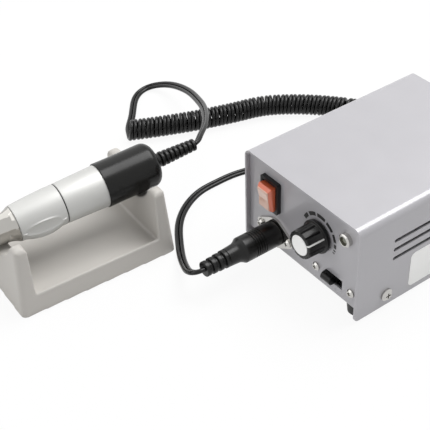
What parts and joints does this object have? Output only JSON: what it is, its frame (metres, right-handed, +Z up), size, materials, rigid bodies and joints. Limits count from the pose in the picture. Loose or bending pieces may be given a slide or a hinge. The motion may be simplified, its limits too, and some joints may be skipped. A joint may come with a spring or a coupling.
{
  "type": "electric nail drill",
  "caption": "Desktop electric nail drill: control box with speed knob, rocker and slide switch, curly cord, and a pen-shaped handpiece with a collet lying in a notched stand.",
  "frame": {"origin": "on the table under the middle of the box, stand and handpiece together, cord left out", "axes": "+Z up, -Y the way the control box faces and the handpiece points, +X to the right as seen from the front"},
  "size_m": [0.2726, 0.3069, 0.065],
  "materials": {
    "painted_grey": "satin light grey paint",
    "stand_grey": "fine matt moulded plastic",
    "black_plastic": "matt black moulding",
    "black_rubber": "soft black",
    "orange_plastic": "glossy orange-red",
    "bright_nickel": "bright plated",
    "satin_aluminium": "fine turned satin",
    "plain_steel": "plain steel",
    "lamination_steel": "dark rolled steel",
    "brass": "plain brass",
    "coil_tape": "amber winding tape",
    "board_green": "green board",
    "capacitor_blue": "dark blue sleeve",
    "lens_olive": "dark clear lens",
    "cap_white": "pale inlay",
    "fuse_glass": "clear tube"
  },
  "bodies": {
    "base": {"cover": "painted_grey", "chassis": "painted_grey", "stand": "stand_grey", "rocker_housing": "black_plastic", "socket_insert": "black_plastic", "mains_gland": "black_plastic", "fuse_holder": "black_plastic", "fuse_nut": "black_plastic", "rectifier": "black_plastic", "power_transistor": "black_plastic", "feet": "black_rubber", "plug_body": "black_rubber", "handpiece_tail": "black_rubber", "curly_cord": "black_rubber", "plug_tail": "black_rubber", "cover_screws": "bright_nickel", "foot_screws": "bright_nickel", "cord_socket": "bright_nickel", "socket_screw_set": "bright_nickel", "pot_nut": "bright_nickel", "lamp_bezel": "bright_nickel", "lamp_nut": "bright_nickel", "slide_screw_set": "bright_nickel", "transformer_screws": "bright_nickel", "board_screws": "bright_nickel", "plug_shell": "bright_nickel", "heat_sink": "satin_aluminium", "speed_pot": "plain_steel", "slide_switch": "plain_steel", "transformer_strap": "plain_steel", "transformer_core": "lamination_steel", "rocker_terminals": "brass", "board_standoffs": "brass", "plug_pins": "brass", "transformer_coil": "coil_tape", "circuit_board": "board_green", "capacitors": "capacitor_blue", "lamp_lens": "lens_olive", "fuse": "fuse_glass"},
    "power_rocker": {"power_rocker": "orange_plastic"},
    "speed_knob": {"speed_knob": "black_plastic", "knob_cap": "cap_white", "pot_shaft": "satin_aluminium"},
    "slide_lever": {"slide_lever": "black_plastic"},
    "fuse_cap": {"fuse_cap": "black_plastic"},
    "handpiece": {"nose_cone": "bright_nickel", "seam_ring": "black_plastic", "rear_barrel": "satin_aluminium", "motor_sleeve": "black_plastic", "strain_relief": "black_rubber", "motor_can": "plain_steel", "motor_magnets": "lamination_steel", "motor_end_bell": "black_plastic", "front_bearing": "plain_steel", "rear_bearing": "plain_steel"},
    "front_sleeve": {"front_sleeve": "satin_aluminium"},
    "spindle": {"spindle": "plain_steel", "collet": "bright_nickel", "coupling": "black_plastic", "rotor": "lamination_steel"}
  },
  "joints": [
    {"name": "rocker_tilt", "type": "hinge", "parent": "base", "child": "power_rocker", "pos_m": [0.0129, 0.0142, 0.0445], "axis": [1, 0, 0], "range_deg": [-12, 0]},
    {"name": "knob_turn", "type": "hinge", "parent": "base", "child": "speed_knob", "pos_m": [0.0529, 0.0142, 0.0405], "axis": [0, -1, 0], "range_deg": [-87, 213]},
    {"name": "direction_slide", "type": "slide", "parent": "base", "child": "slide_lever", "axis": [1, 0, 0], "range_m": [0, 0.0059]},
    {"name": "fuse_cap_turn", "type": "hinge", "parent": "base", "child": "fuse_cap", "pos_m": [0.003, 0.1378, 0.045], "axis": [0, 1, 0], "range_deg": [0, 45]},
    {"name": "handpiece_lift", "type": "slide", "parent": "base", "child": "handpiece", "axis": [0, 0, 1], "range_m": [0, 0.06], "deforming": ["handpiece_tail"]},
    {"name": "sleeve_twist", "type": "hinge", "parent": "handpiece", "child": "front_sleeve", "pos_m": [-0.05471, -0.03904, 0.04368], "axis": [0.0818, 0.9949, 0.0593], "range_deg": [0, 60]},
    {"name": "spindle_spin", "type": "hinge", "parent": "handpiece", "child": "spindle", "pos_m": [-0.05471, -0.03904, 0.04368], "axis": [0.0818, 0.9949, 0.0593], "continuous": true}
  ]
}
